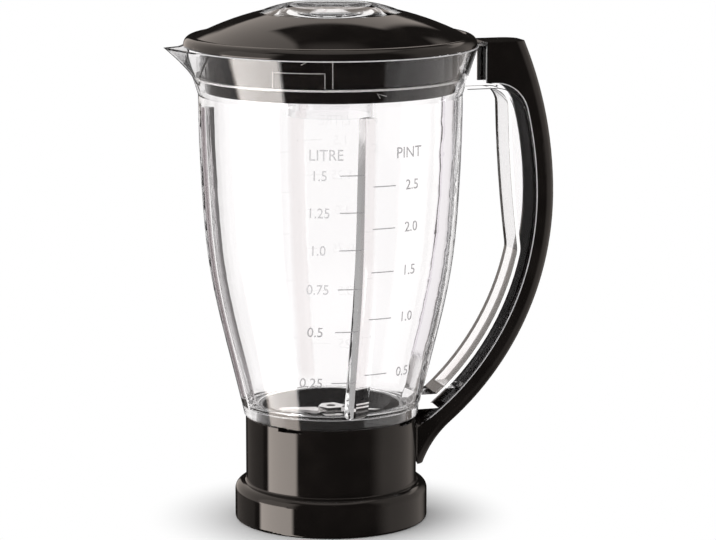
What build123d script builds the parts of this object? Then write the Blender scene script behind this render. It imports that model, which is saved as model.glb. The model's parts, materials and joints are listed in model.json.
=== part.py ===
from build123d import *
import math
import os

# Blender jar: clear goblet with spout and handle, base collar with the blade unit, lid and filler cap.
# Millimetres and degrees. The origin is the centre of the foot's underside, +Z is up,
# the handle points along +X and the spout along -X.

# Gaps
turn_gap = 0.3          # between pieces that twist or lift apart
seat_gap = 0.05         # between pieces that are fixed together
running_gap = 0.03      # shaft in its bushes

# Foot and collar
foot_step = 5.8
foot_height = 20.0
foot_wall = 3.0
foot_bore_depth = 12.0
foot_edge_round = 1.5
foot_shoulder_round = 4.8
collar_height = 56.3
collar_wall = 2.6
collar_root_round = 0.8
collar_edge_round = 0.8
ledge_width = 5.0
ledge_thickness = 3.0

# Bayonet between the collar and the goblet's neck
bayonet_count = 4
twist_angle = 30.0
lug_width = 11.0
lug_reach = 1.6
lug_thickness = 3.6
lug_rise = 2.6
entry_width = 13.6
track_wall = 1.7
notch_depth = 2.4
entry_direction = 45.0

# Goblet
neck_radius = 41.6
neck_wall = 2.6
neck_length = 15.0
wall = 2.6
floor_thickness = 5.1
base_overhang = 0.8
base_flare = 0.22
shoulder_radius = 69.0
body_height = 170.0
belly_low_rise = 38.0
belly_low_inset = 13.9
belly_middle_rise = 76.3
belly_middle_inset = 5.7
belly_high_rise = 124.2
belly_high_inset = 1.3
flare_width = 8.0
flare_height = 25.0
floor_corner_round = 6.0
rib_count = 4
rib_depth = 4.5
rib_root = 1.0          # how far a rib reaches into the wall
rib_crest_width = 1.0
rib_foot_width = 17.4
rib_head_width = 12.3
rib_sections = 7
rib_top_drop = 5.0

# Spout
spout_reach = 10.4
spout_depth = 18.0
spout_tip_round = 4.6
spout_start = 0.4
spout_sections = 5
spout_curve = 1.5
spout_tip_rise = 1.2

# Handle
handle_standoff = 45.3
handle_bulge_drop = 58.1
handle_upper_radius = 210.0
handle_top_drop = 1.9
cover_width = 24.0
cover_depth = 11.3
cover_wall = 1.6
cover_edge_round = 7.5
arm_straight = 0.1
arm_gap = 5.3
arm_depth = 21.5
tail_start_out = 19.6
tail_start_drop = 8.3
tail_tip_rise = 7.2
tail_tip_out = 4.3
tail_gap = 0.9
tongue = 4.0
spine_wall = 2.3
spine_drop = 2.9
grip_depth = 18.6
swell_start = 28.5
swell_rise = 14.5
swell_depth = 25.4
swell_round = 12.0
spine_corner_round = 10.0
spine_foot_rise = 8.0

# Lid
lid_inset = 0.5
lid_wall = 2.4
lid_edge_height = 5.2
lid_edge_round = 4.6
lid_edge_run = 5.0
lid_groove = 0.6
dome_radius = 155.0
skirt_gap = 1.6
skirt_step = 1.4
skirt_depth = 22.3
seal_drop = 14.9
lid_seal_thickness = 1.0
pad_count = 3
pad_width = 26.5
pad_height = 8.3
pad_proud = 1.4
filler_tube_depth = 22.0

# Filler cap
cap_radius = 36.9
cap_seat_depth = 2.3
cap_edge_height = 2.0
cap_crest_radius = 20.0
cap_crest_rise = 6.4
cap_crest_round = 1.2
cap_dish_depth = 1.1
cap_brow_bulge = 0.7
cap_wall = 1.8
cap_tube_radius = 23.5
cap_tube_length = 51.5

# Blade carrier and its seal
flange_thickness = 3.0
jar_seal_thickness = 2.0
carrier_wall = 2.4
cup_depth = 11.0
cup_taper = 4.0
cup_round = 3.5
boss_radius = 11.5
boss_height = 2.8
boss_edge_round = 0.8
boss_root_round = 1.2
web_count = 6
web_thickness = 2.0
web_depth = 7.0
bearing_tube_wall = 3.5
bearing_tube_length = 22.1

# Shaft, bushes and what turns with the shaft
shaft_radius = 4.0
bush_wall = 1.5
bush_length = 10.0
shaft_seal_height = 3.0
shaft_end_inset = 1.0
shaft_socket_radius = 2.4
shaft_socket_depth = 3.0
circlip_groove_radius = 3.5
washer_radius = 7.5
washer_thickness = 1.0
circlip_radius = 6.2
circlip_thickness = 1.0
circlip_gap_angle = 60.0
coupling_radius = 17.0
coupling_hub_radius = 9.0
coupling_plate = 3.0
coupling_height = 10.0
coupling_dogs = 6
coupling_dog_width = 5.0
coupling_dog_lap = 0.5

# Blades and nut
blade_thickness = 1.5
blade_hub_radius = 8.0
blade_root_width = 12.5
blade_tip_width = 2.5
blade_bend_radius = 7.0
blade_sweep_angle = 38.0
blade_bevel = 3.0
blade_bevel_depth = 1.1
lower_wing_length = 20.0
lower_wing_angle = -5.0
lower_blade_angle = 83.0
upper_wing_length = 20.2
upper_wing_angle = 1.0
upper_blade_angle = 173.0
spacer_height = 0.5
spacer_radius = 7.0
nut_sides = 6
nut_radius = 7.0
nut_height = 2.0

# Heights and radii worked out from the sizes above
lip_radius = neck_radius + turn_gap
track_radius = neck_radius + lug_reach + turn_gap
collar_radius = track_radius + track_wall
collar_bore_radius = collar_radius - collar_wall
foot_radius = collar_radius + foot_step
foot_bore_radius = foot_radius - foot_wall

base_radius = collar_radius + base_overhang
rim_radius = shoulder_radius + flare_width
flare_slope = flare_width / flare_height
jar_base = collar_height + turn_gap
jar_floor = jar_base + floor_thickness
neck_bottom = jar_base - neck_length
neck_bore_radius = neck_radius - neck_wall
shoulder_height = jar_base + body_height
rim_height = shoulder_height + flare_height
rib_top = shoulder_height - rib_top_drop

lug_bottom = neck_bottom + lug_rise
lug_top = lug_bottom + lug_thickness
lug_angle = math.degrees(lug_width / (neck_radius + lug_reach))
entry_angle = math.degrees(entry_width / track_radius)

jar_seal_top = neck_bottom - turn_gap
jar_seal_bottom = jar_seal_top - jar_seal_thickness
flange_radius = lip_radius - seat_gap
flange_top = jar_seal_bottom - seat_gap
flange_bottom = flange_top - flange_thickness
ledge_height = flange_bottom - seat_gap
ledge_radius = lip_radius - ledge_width
plug_radius = neck_bore_radius - turn_gap
cup_rim = jar_floor - turn_gap
cup_floor = cup_rim - cup_depth
boss_top = cup_floor + boss_height
bearing_tube_bottom = cup_floor - bearing_tube_length

bush_radius = shaft_radius + running_gap + bush_wall
bearing_bore_radius = bush_radius + seat_gap
bearing_tube_radius = bearing_bore_radius + bearing_tube_wall
upper_washer_bottom = boss_top + turn_gap
lower_blade_bottom = upper_washer_bottom + washer_thickness + seat_gap
spacer_bottom = lower_blade_bottom + blade_thickness + seat_gap
upper_blade_bottom = spacer_bottom + spacer_height + seat_gap
nut_bottom = upper_blade_bottom + blade_thickness + seat_gap
lower_washer_top = bearing_tube_bottom - turn_gap
circlip_top = lower_washer_top - washer_thickness - seat_gap
coupling_top = circlip_top - circlip_thickness - seat_gap
coupling_bottom = coupling_top - coupling_height
hub_bore_radius = shaft_radius + seat_gap

lid_radius = rim_radius - lid_inset
lid_bottom = rim_height + turn_gap
lid_edge_top = lid_bottom + lid_edge_height
dome_edge_radius = lid_radius - lid_edge_run - lid_groove
dome_centre = lid_edge_top - lid_groove - math.sqrt(dome_radius ** 2 - dome_edge_radius ** 2)
cap_seat_radius = cap_radius + turn_gap
cap_seat = dome_centre + math.sqrt(dome_radius ** 2 - cap_seat_radius ** 2) - cap_seat_depth
cap_hole_radius = cap_tube_radius + turn_gap
skirt_bottom = rim_height - skirt_depth
skirt_lower_radius = shoulder_radius - wall + flare_slope * (skirt_bottom - shoulder_height) - skirt_gap
skirt_radius = skirt_lower_radius + skirt_step
lid_seal_top = rim_height - seal_drop

handle_reach = rim_radius + handle_standoff
handle_bulge_height = shoulder_height - handle_bulge_drop
tail_start = collar_height - tail_start_drop
handle_lower_drop = handle_bulge_height - tail_start
handle_lower_run = handle_reach - collar_radius - tail_start_out
handle_lower_radius = (handle_lower_drop ** 2 + handle_lower_run ** 2) / (2 * handle_lower_run)
tail_tip_height = foot_height + tail_tip_rise
tail_tip_reach = collar_radius + tail_tip_out
cover_front = rim_radius + arm_gap
spine_top = rim_height - handle_top_drop
cover_top = spine_top + turn_gap + cover_wall
cover_bottom = cover_top - arm_depth
spine_width = cover_width - 2 * (cover_wall + seat_gap)
spine_bottom = jar_base + turn_gap
arm_underside = cover_bottom - spine_drop


def point(radius, height):
    """A point of the half section, at a radius from the axis and a height."""
    return (radius, 0, height)


def outline(*corners):
    """A closed straight-sided face through the given (radius, height) corners."""
    return make_face(Polyline(*[point(*corner) for corner in corners], close=True))


def bowed(start, end, bulge):
    """An arc between two (radius, height) places, whose middle stands off to the right of its chord."""
    run = end[0] - start[0]
    climb = end[1] - start[1]
    chord = math.hypot(run, climb)
    middle_radius = (start[0] + end[0]) / 2 + bulge * climb / chord
    middle_height = (start[1] + end[1]) / 2 - bulge * run / chord
    return ThreePointArc(point(*start), point(middle_radius, middle_height), point(*end))


def domed(radius, edge, middle):
    """The half section of a round cap, from its edge at a radius to its middle on the axis."""
    rise = middle - edge
    ball = (radius ** 2 + rise ** 2) / (2 * rise)
    halfway = radius / 2
    height = middle - ball + math.copysign(math.sqrt(ball ** 2 - halfway ** 2), rise)
    return ThreePointArc(point(radius, edge), point(halfway, height), point(0, middle))


def round_corner(face, radius, height, amount):
    """Round the corner of a section that lies nearest to the given place."""
    place = Vector(radius, 0, height)
    corner = min(face.vertices(), key=lambda vertex: (Vector(*vertex) - place).length)
    return fillet(corner, amount)


def turned(face, angle=360.0, start=0.0):
    """Turn a half section about the axis, through an angle from a starting direction."""
    return Rot(0, 0, start) * revolve(face, Axis.Z, revolution_arc=angle)


def ring(inner, outer, bottom, top):
    """A plain ring about the axis."""
    return turned(outline((inner, bottom), (outer, bottom), (outer, top), (inner, top)))


def sector(inner, outer, bottom, top, centre, angle):
    """A piece of a plain ring that spans an angle about a centre direction."""
    face = outline((inner, bottom), (outer, bottom), (outer, top), (inner, top))
    return turned(face, angle, centre - angle / 2)


def around(count, first=0.0):
    """Evenly spaced directions."""
    return [first + 360.0 / count * index for index in range(count)]


def slab(face, width):
    """A side view of the handle, given its width to both sides of the middle plane."""
    return extrude(face, amount=width / 2, both=True)


def rounded_slab(face, width, amount):
    """A slab whose long curved edges are rounded."""
    block = slab(face, width)
    return fillet(block.edges().filter_by(GeomType.CIRCLE), amount)


# Base collar


def base_collar():
    section = outline(
        (foot_bore_radius, 0),
        (foot_radius, 0),
        (foot_radius, foot_height),
        (collar_radius, foot_height),
        (collar_radius, collar_height),
        (lip_radius, collar_height),
        (lip_radius, ledge_height),
        (ledge_radius, ledge_height),
        (ledge_radius, ledge_height - ledge_thickness),
        (collar_bore_radius, ledge_height - ledge_thickness),
        (collar_bore_radius, foot_bore_depth),
        (foot_bore_radius, foot_bore_depth),
    )
    section = round_corner(section, foot_radius, 0, foot_edge_round)
    section = round_corner(section, foot_radius, foot_height, foot_shoulder_round)
    section = round_corner(section, collar_radius, foot_height, collar_root_round)
    section = round_corner(section, collar_radius, collar_height, collar_edge_round)
    collar = turned(section)
    inside = lip_radius - turn_gap
    above = collar_height + turn_gap
    track_low = lug_bottom - turn_gap
    track_high = lug_top + turn_gap
    stop_angle = math.degrees(turn_gap / track_radius)
    track_angle = twist_angle + lug_angle / 2 + stop_angle + entry_angle / 2
    for direction in around(bayonet_count, entry_direction):
        track_centre = direction + entry_angle / 2 - track_angle / 2
        collar -= sector(inside, track_radius, track_low, track_high, track_centre, track_angle)
        collar -= sector(inside, track_radius, track_low, above, direction, entry_angle)
        collar -= sector(inside, foot_radius, collar_height - notch_depth, above, direction, entry_angle)
    return collar


# Goblet


def wall_curve(inset, bottom):
    """The side wall's line, set in from the outside, from a height up to the shoulder."""
    start_radius = base_radius + base_flare * (bottom - jar_base)
    return Spline(
        point(start_radius - inset, bottom),
        point(shoulder_radius - belly_low_inset - inset, jar_base + belly_low_rise),
        point(shoulder_radius - belly_middle_inset - inset, jar_base + belly_middle_rise),
        point(shoulder_radius - belly_high_inset - inset, jar_base + belly_high_rise),
        point(shoulder_radius - inset, shoulder_height),
        tangents=[(base_flare, 0, 1), (0, 0, 1)],
    )


def flare_radius(height, inset):
    """The radius at a height, straight up to the shoulder and flared above it, set in from the outside."""
    rise = max(0.0, height - shoulder_height)
    return shoulder_radius - inset + flare_slope * rise


def core(inset, bottom, top, foot_round=0.0):
    """The goblet's form filled to the axis, set in from its outside, with or without a round at its foot."""
    side = wall_curve(inset, bottom)
    rest = Polyline(
        side @ 1,
        point(flare_radius(top, inset), top),
        point(0, top),
        point(0, bottom),
        side @ 0,
    )
    section = make_face([side] + rest.edges())
    if foot_round:
        section = round_corner(section, side.position_at(0).X, bottom, foot_round)
    return turned(section)


def spout(inset, top):
    """The spout's form, set in from its outside: a tip that leaves the flared rim in a rising curve."""
    sections = []
    spout_bottom = rim_height - spout_depth
    for step in range(spout_sections):
        share = step / (spout_sections - 1)
        height = spout_bottom + share * (top - spout_bottom)
        rise = (height - spout_bottom) / spout_depth
        rim = flare_radius(height, 0)
        tip = rim + spout_start + (spout_reach - spout_start) * rise ** spout_curve
        root_circle = Circle(rim - wall / 2 - inset)
        tip_circle = Pos(spout_tip_round - tip, 0) * Circle(spout_tip_round - inset)
        hull = make_hull(root_circle.edges() + tip_circle.edges())
        sections.append(Pos(0, 0, height) * hull)
    return loft(sections)


def rib():
    """An upright ridge on the inside of the wall, which narrows from its foot to its head."""
    line = wall_curve(wall, jar_floor - wall)
    sections = []
    for step in range(rib_sections):
        share = step / (rib_sections - 1)
        place = line.position_at(share)
        half = (rib_foot_width + share * (rib_head_width - rib_foot_width)) / 2
        root = place.X + rib_root
        crest = place.X - rib_depth
        corners = [(root, half), (crest, rib_crest_width / 2), (crest, -rib_crest_width / 2), (root, -half)]
        sections.append(Pos(0, 0, place.Z) * make_face(Polyline(*corners, close=True)))
    below_top = Pos(rim_radius / 2, 0, 0) * Box(rim_radius, rim_radius, 2 * rib_top)
    return loft(sections) & below_top


def above_rim():
    """What is cut away above the rim, which rises along the spout to its tip."""
    far = rim_radius + spout_reach
    high = rim_height + 2 * spout_depth
    rise = spout_tip_rise / (far - rim_radius) * rim_radius
    side = outline(
        (rim_radius, rim_height),
        (2 * rim_radius, rim_height + rise),
        (2 * rim_radius, high),
        (-2 * rim_radius, high),
        (-2 * rim_radius, rim_height),
    )
    return Rot(0, 0, 180) * slab(side, 3 * rim_radius)


def jar():
    over = rim_height + 2 * spout_tip_rise
    body = core(0, jar_base, over) + spout(0, over)
    body += ring(neck_bore_radius, neck_radius, neck_bottom, jar_base + wall)
    body -= core(wall, jar_floor, over + wall, floor_corner_round)
    body -= spout(wall, over + wall)
    body -= above_rim()
    for direction in around(rib_count):
        body += Rot(0, 0, direction) * rib()
    body -= ring(0, neck_bore_radius, neck_bottom - wall, jar_floor)
    for direction in around(bayonet_count, entry_direction - twist_angle):
        body += sector(neck_bore_radius, neck_radius + lug_reach, lug_bottom, lug_top, direction, lug_angle)
    return body + spine()


# Handle


def grip_reach(depth, height):
    """How far out the handle's line lies at a height, at a depth in from its outer edge."""
    radius = handle_upper_radius if height > handle_bulge_height else handle_lower_radius
    drop = height - handle_bulge_height
    return handle_reach - radius + math.sqrt((radius - depth) ** 2 - drop ** 2)


def grip_arc(depth, start, end):
    """The part of the handle's line between two heights, at a depth in from its outer edge."""
    heights = (start, (start + end) / 2, end)
    return ThreePointArc(*[point(grip_reach(depth, height), height) for height in heights])


def grip_line(depth, top, bottom):
    """The handle's line from the top down to the bottom, at a depth in from its outer edge."""
    return [grip_arc(depth, top, handle_bulge_height), grip_arc(depth, handle_bulge_height, bottom)]


def grip_height(depth, reach):
    """The height at which the lower part of the handle's line comes in to a reach."""
    radius = handle_lower_radius
    return handle_bulge_height - math.sqrt((radius - depth) ** 2 - (reach - handle_reach + radius) ** 2)


def closed(edges, *corners):
    """A face bounded by a chain of edges and then by straight runs through the corners."""
    first = edges[0] @ 0
    last = edges[-1] @ 1
    straight = Polyline(last, *[point(*corner) for corner in corners], first)
    return make_face(edges + straight.edges())


def handle_cover():
    """The outer shell of the handle: a channel with rounded edges and a tail beside the collar."""
    outer_line = grip_line(0, cover_top, tail_start)
    tail_tip = point(tail_tip_reach, tail_tip_height)
    tail = TangentArc(outer_line[-1] @ 1, tail_tip, tangent=outer_line[-1] % 1)
    inside = collar_radius - cover_depth
    outer = closed(outer_line + [tail], (inside, tail_tip_height), (inside, cover_top))
    shell = rounded_slab(outer, cover_width, cover_edge_round)
    joint = grip_line(cover_depth, cover_bottom, grip_height(cover_depth, inside))
    above = cover_top + cover_wall
    behind = inside - cover_wall
    inner = closed(
        joint,
        (behind, joint[-1].position_at(1).Z),
        (behind, above),
        (cover_front, above),
        (cover_front, cover_bottom),
    )
    arm_end = grip_reach(cover_depth, cover_bottom)
    inner = round_corner(inner, arm_end, cover_bottom, arm_end - cover_front - arm_straight)
    shell -= slab(inner, 2 * cover_width)
    ceiling = cover_top - cover_wall
    channel = closed(grip_line(cover_wall, ceiling, tail_start), (behind, tail_start), (behind, ceiling))
    shell -= rounded_slab(channel, cover_width - 2 * cover_wall, cover_edge_round - cover_wall)
    return shell - ring(0, collar_radius + tail_gap, 0, jar_floor)


def spine():
    """The clear inner half of the handle: a channel whose web is the finger side."""
    inside = neck_bore_radius
    outer_depth = cover_depth - tongue
    swell_bottom = handle_bulge_height - swell_start
    swell_peak = handle_bulge_height + swell_rise
    spine_foot = jar_base + spine_foot_rise
    finger_top = grip_reach(grip_depth, arm_underside)
    finger_side = [
        ThreePointArc(
            point(finger_top, arm_underside),
            point(grip_reach(swell_depth, swell_peak), swell_peak),
            point(grip_reach(grip_depth, swell_bottom), swell_bottom),
        ),
        grip_arc(grip_depth, swell_bottom, spine_foot),
    ]
    gap = closed(finger_side, (inside, spine_foot), (inside, arm_underside))
    gap = round_corner(gap, finger_top, arm_underside, spine_corner_round)
    gap = round_corner(gap, grip_reach(grip_depth, swell_bottom), swell_bottom, swell_round)
    outer_line = grip_line(outer_depth, spine_top, spine_bottom)
    side = closed(outer_line, (inside, spine_bottom), (inside, spine_top))
    ceiling = spine_top - spine_wall
    pocket_bottom = spine_foot + spine_wall
    pocket_line = grip_line(cover_wall, ceiling, pocket_bottom)
    pocket = closed(pocket_line, (inside, pocket_bottom), (inside, ceiling))
    pocket -= offset(gap, spine_wall)
    front = cover_front + spine_wall
    pocket -= outline((0, arm_underside), (front, arm_underside), (front, spine_top), (0, spine_top))
    bar = slab(side - gap, spine_width) - slab(pocket, spine_width - 2 * spine_wall)
    return bar - core(wall / 2, spine_bottom - wall, rim_height + wall)


# Lid and filler cap


def dome_height(radius, inset=0.0):
    """Height of the lid's dome at a radius, set in from its top."""
    return dome_centre + math.sqrt((dome_radius - inset) ** 2 - radius ** 2)


def dome_arc(start, end, inset=0.0):
    """The dome's line between two radii."""
    radii = (start, (start + end) / 2, end)
    return ThreePointArc(*[point(radius, dome_height(radius, inset)) for radius in radii])


def lid():
    tube_radius = cap_hole_radius + lid_wall
    tube_bottom = cap_seat - filler_tube_depth
    seat_under = cap_seat - lid_wall
    seat_wall = cap_seat_radius + lid_wall
    skirt_inside = skirt_lower_radius - lid_wall
    dome_top = dome_arc(dome_edge_radius, cap_seat_radius)
    dome_under = dome_arc(seat_wall, skirt_inside, lid_wall)
    middle = Polyline(
        dome_top @ 1,
        point(cap_seat_radius, cap_seat),
        point(cap_hole_radius, cap_seat),
        point(cap_hole_radius, tube_bottom),
        point(tube_radius, tube_bottom),
        point(tube_radius, seat_under),
        point(seat_wall, seat_under),
        dome_under @ 0,
    )
    edge = Polyline(
        dome_under @ 1,
        point(skirt_inside, skirt_bottom),
        point(skirt_lower_radius, skirt_bottom),
        point(skirt_lower_radius, lid_seal_top),
        point(skirt_radius, lid_seal_top),
        point(skirt_radius, lid_bottom),
        point(lid_radius, lid_bottom),
        point(lid_radius, lid_edge_top),
        point(lid_radius - lid_edge_run, lid_edge_top),
        dome_top @ 0,
    )
    section = make_face([dome_top] + middle.edges() + [dome_under] + edge.edges())
    section = round_corner(section, lid_radius, lid_edge_top, lid_edge_round)
    body = turned(section)
    pad_angle = math.degrees(pad_width / skirt_radius)
    pad_top = lid_seal_top + pad_height
    pad_radius = skirt_radius + pad_proud
    for direction in around(pad_count):
        body += sector(skirt_inside, pad_radius, lid_seal_top, pad_top, direction, pad_angle)
    return body


def lid_seal():
    bottom = lid_seal_top - seat_gap - lid_seal_thickness
    outside = flare_radius(bottom, wall) - turn_gap
    return ring(skirt_lower_radius + seat_gap, outside, bottom, bottom + lid_seal_thickness)


def filler_cap():
    bottom = cap_seat + turn_gap
    crest = bottom + cap_crest_rise
    dish = crest - cap_dish_depth
    ceiling = dish - cap_wall
    tube_bottom = bottom - cap_tube_length
    tube_inside = cap_tube_radius - cap_wall
    brow = bowed((cap_radius, bottom + cap_edge_height), (cap_crest_radius, crest), cap_brow_bulge)
    bowl = domed(cap_crest_radius, crest, dish)
    rest = Polyline(
        bowl @ 1,
        point(0, ceiling),
        point(tube_inside, ceiling),
        point(tube_inside, tube_bottom),
        point(cap_tube_radius, tube_bottom),
        point(cap_tube_radius, bottom),
        point(cap_radius, bottom),
        brow @ 0,
    )
    section = make_face([brow, bowl] + rest.edges())
    section = round_corner(section, cap_crest_radius, crest, cap_crest_round)
    return turned(section)


# Blade carrier with its seals and bushes


def blade_carrier():
    cup_rim_radius = plug_radius - carrier_wall
    cup_floor_radius = cup_rim_radius - cup_taper
    underside = cup_floor - carrier_wall
    section = outline(
        (bearing_bore_radius, boss_top),
        (boss_radius, boss_top),
        (boss_radius, cup_floor),
        (cup_floor_radius, cup_floor),
        (cup_rim_radius, cup_rim),
        (plug_radius, cup_rim),
        (plug_radius, flange_top),
        (flange_radius, flange_top),
        (flange_radius, flange_bottom),
        (cup_rim_radius, flange_bottom),
        (cup_rim_radius, underside),
        (bearing_tube_radius, underside),
        (bearing_tube_radius, bearing_tube_bottom),
        (bearing_bore_radius, bearing_tube_bottom),
    )
    section = round_corner(section, cup_floor_radius, cup_floor, cup_round)
    section = round_corner(section, boss_radius, cup_floor, boss_root_round)
    section = round_corner(section, boss_radius, boss_top, boss_edge_round)
    carrier = turned(section)
    web_length = cup_rim_radius - bearing_tube_radius + carrier_wall
    web_middle = (cup_rim_radius + bearing_tube_radius) / 2
    web = Box(web_length, web_thickness, web_depth + carrier_wall)
    web = Pos(web_middle, 0, underside - web_depth / 2) * web
    for direction in around(web_count):
        carrier += Rot(0, 0, direction) * web
    return carrier


def jar_seal():
    return ring(plug_radius + seat_gap, neck_radius - seat_gap, jar_seal_bottom, jar_seal_top)


def bush(bottom):
    return ring(shaft_radius + running_gap, bush_radius, bottom, bottom + bush_length)


def upper_bush():
    return bush(boss_top - shaft_seal_height - seat_gap - bush_length)


def lower_bush():
    return bush(bearing_tube_bottom)


def shaft_seal():
    return ring(shaft_radius + running_gap, bush_radius, boss_top - shaft_seal_height, boss_top)


# Shaft and what turns with it


def drive_shaft():
    bottom = coupling_bottom + shaft_end_inset
    top = nut_bottom + nut_height
    shaft = ring(0, shaft_radius, bottom, top)
    shaft -= ring(0, shaft_socket_radius, top - shaft_socket_depth, top + seat_gap)
    groove_top = circlip_top + seat_gap
    groove_bottom = circlip_top - circlip_thickness - seat_gap
    return shaft - ring(circlip_groove_radius, hub_bore_radius, groove_bottom, groove_top)


def upper_washer():
    return ring(hub_bore_radius, washer_radius, upper_washer_bottom, upper_washer_bottom + washer_thickness)


def lower_washer():
    return ring(hub_bore_radius, washer_radius, lower_washer_top - washer_thickness, lower_washer_top)


def circlip():
    bottom = circlip_top - circlip_thickness
    clip = ring(circlip_groove_radius + seat_gap, circlip_radius, bottom, circlip_top)
    mouth = sector(0, 2 * circlip_radius, bottom - seat_gap, circlip_top + seat_gap, 0, circlip_gap_angle)
    return clip - mouth


def drive_coupling():
    """A plate with radial dogs round a hub, open towards the motor."""
    coupling = ring(hub_bore_radius, coupling_radius, coupling_top - coupling_plate, coupling_top)
    coupling += ring(hub_bore_radius, coupling_hub_radius, coupling_bottom, coupling_top)
    dog_length = coupling_radius - coupling_hub_radius
    dog_height = coupling_height - coupling_plate / 2
    dog_middle = (coupling_radius + coupling_hub_radius) / 2 - coupling_dog_lap
    dog = Box(dog_length, coupling_dog_width, dog_height)
    dog = Pos(dog_middle, 0, coupling_bottom + dog_height / 2) * dog
    for direction in around(coupling_dogs):
        coupling += Rot(0, 0, direction) * dog
    return coupling


def wing(length, tilt_angle, bottom):
    """One wing of a blade, bent at the hub's edge, with a curved bevelled cutting edge."""
    angle = math.radians(tilt_angle)
    lap = blade_thickness * abs(math.sin(angle)) + seat_gap
    plane = Plane(
        origin=(blade_bend_radius, 0, bottom),
        x_dir=(math.cos(angle), 0, math.sin(angle)),
        z_dir=(-math.sin(angle), 0, math.cos(angle)),
    )
    half = blade_root_width / 2
    tip = blade_tip_width - half
    sweep = math.radians(blade_sweep_angle)
    cutting_edge = TangentArc((length, tip), (-lap, half), tangent=(-math.cos(sweep), math.sin(sweep)))
    back = Polyline((-lap, half), (-lap, -half), (length, -half), (length, tip))
    sheet = extrude(plane * make_face([cutting_edge] + back.edges()), blade_thickness)
    edge = sheet.edges().filter_by(GeomType.CIRCLE).sort_by(Axis(plane.origin, plane.z_dir))[-1]
    side = sheet.faces().filter_by(GeomType.CYLINDER)[0]
    return chamfer(edge, blade_bevel_depth, blade_bevel, reference=side)


def blade(length, tilt_angle, bottom, turn_angle):
    top = bottom + blade_thickness
    disc = ring(0, blade_hub_radius, bottom, top)
    strip = Pos(0, 0, bottom) * Box(2 * blade_bend_radius, 2 * blade_hub_radius, 2 * blade_thickness)
    one = wing(length, tilt_angle, bottom)
    whole = (disc & strip) + one + Rot(0, 0, 180) * one
    bore = ring(0, hub_bore_radius, bottom - blade_thickness, top + blade_thickness)
    return Rot(0, 0, turn_angle) * (whole - bore)


def lower_blade():
    return blade(lower_wing_length, lower_wing_angle, lower_blade_bottom, lower_blade_angle)


def upper_blade():
    return blade(upper_wing_length, upper_wing_angle, upper_blade_bottom, upper_blade_angle)


def blade_spacer():
    return ring(hub_bore_radius, spacer_radius, spacer_bottom, spacer_bottom + spacer_height)


def blade_nut():
    """A low hexagon nut, open at its top."""
    nut = extrude(Pos(0, 0, nut_bottom) * RegularPolygon(nut_radius, nut_sides), nut_height)
    return nut - ring(0, hub_bore_radius, nut_bottom - seat_gap, nut_bottom + nut_height + seat_gap)


pieces = [
    base_collar,
    jar,
    handle_cover,
    lid,
    lid_seal,
    filler_cap,
    blade_carrier,
    jar_seal,
    upper_bush,
    lower_bush,
    shaft_seal,
    drive_shaft,
    upper_washer,
    lower_blade,
    blade_spacer,
    upper_blade,
    blade_nut,
    lower_washer,
    circlip,
    drive_coupling,
]

if __name__ == "__main__":
    os.makedirs("parts", exist_ok=True)
    for make in pieces:
        export_step(make(), f"parts/{make.__name__}.step")
        print("wrote", make.__name__)
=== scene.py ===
# %% [markdown]
# # A blender jar, dressed for the camera
#
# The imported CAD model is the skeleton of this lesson: it fixes every size and every joint. Blender adds
# what CAD leaves out: the look of clear and black plastic, of bright blades and soft seals, the moulded
# scale on the wall, and a studio to see it all in. Everything is in metres, in the frame of the CAD model:
# +Z is up, the handle points along +X and the spout along -X.

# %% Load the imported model
import json
import math

import bpy
import numpy as np
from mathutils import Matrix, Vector
from mathutils.bvhtree import BVHTree


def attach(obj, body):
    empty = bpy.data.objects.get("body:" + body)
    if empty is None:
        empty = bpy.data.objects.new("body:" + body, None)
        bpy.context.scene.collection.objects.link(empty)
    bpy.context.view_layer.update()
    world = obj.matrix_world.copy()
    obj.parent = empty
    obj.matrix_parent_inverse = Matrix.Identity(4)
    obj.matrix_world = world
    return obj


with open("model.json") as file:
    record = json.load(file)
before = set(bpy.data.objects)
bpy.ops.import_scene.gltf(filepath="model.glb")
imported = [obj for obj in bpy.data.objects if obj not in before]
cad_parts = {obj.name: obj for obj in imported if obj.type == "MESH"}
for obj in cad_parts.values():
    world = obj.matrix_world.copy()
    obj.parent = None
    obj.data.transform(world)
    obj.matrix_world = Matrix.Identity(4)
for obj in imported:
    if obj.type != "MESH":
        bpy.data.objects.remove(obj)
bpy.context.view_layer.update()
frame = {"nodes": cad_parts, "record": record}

MM = 0.001

# %% [markdown]
# ## Small tools for node trees
#
# Every finish below is a tree of nodes: boxes joined by wires. The boxes could be written out one by one, but
# that would bury the ideas. Two short helpers keep the file readable: one adds a node and fills in its plain
# values, and one joins two sockets.


# %% Helpers: add a node, join two sockets
def add_node(tree, kind, **values):
    """Add a node; a value goes to the property of that name, or else to the input socket of that name."""
    node = tree.nodes.new(kind)
    for name, value in values.items():
        if hasattr(node, name):
            setattr(node, name, value)
        else:
            node.inputs[name.replace("_", " ")].default_value = value
    return node


def wire(tree, start, end):
    """Join an output socket to an input socket."""
    tree.links.new(start, end)


print("node trees are built in Blender", bpy.app.version_string)

# %% [markdown]
# ## What all moulded surfaces share
#
# A moulded surface is never quite even. The melt cools in slow waves that bend reflections a little, and
# handling leaves a faint haze. An image could show both, but noise has no seams and no end. A node group makes
# it from Object coordinates, so that it sits on the piece whatever the view, and every plastic here uses the
# group with its own values.

# %% Group: moulded skin
wave_detail, haze_detail = 1.0, 4.0
haze_none, haze_full = 0.35, 0.7


def fade(tree, value, none, full):
    """A socket that runs softly from 0, where a value is at none, to 1, where it is at full."""
    node = add_node(tree, "ShaderNodeMapRange", interpolation_type="SMOOTHSTEP")
    node.inputs["From Min"].default_value = none
    node.inputs["From Max"].default_value = full
    wire(tree, value, node.inputs["Value"])
    return node.outputs["Result"]


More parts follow.
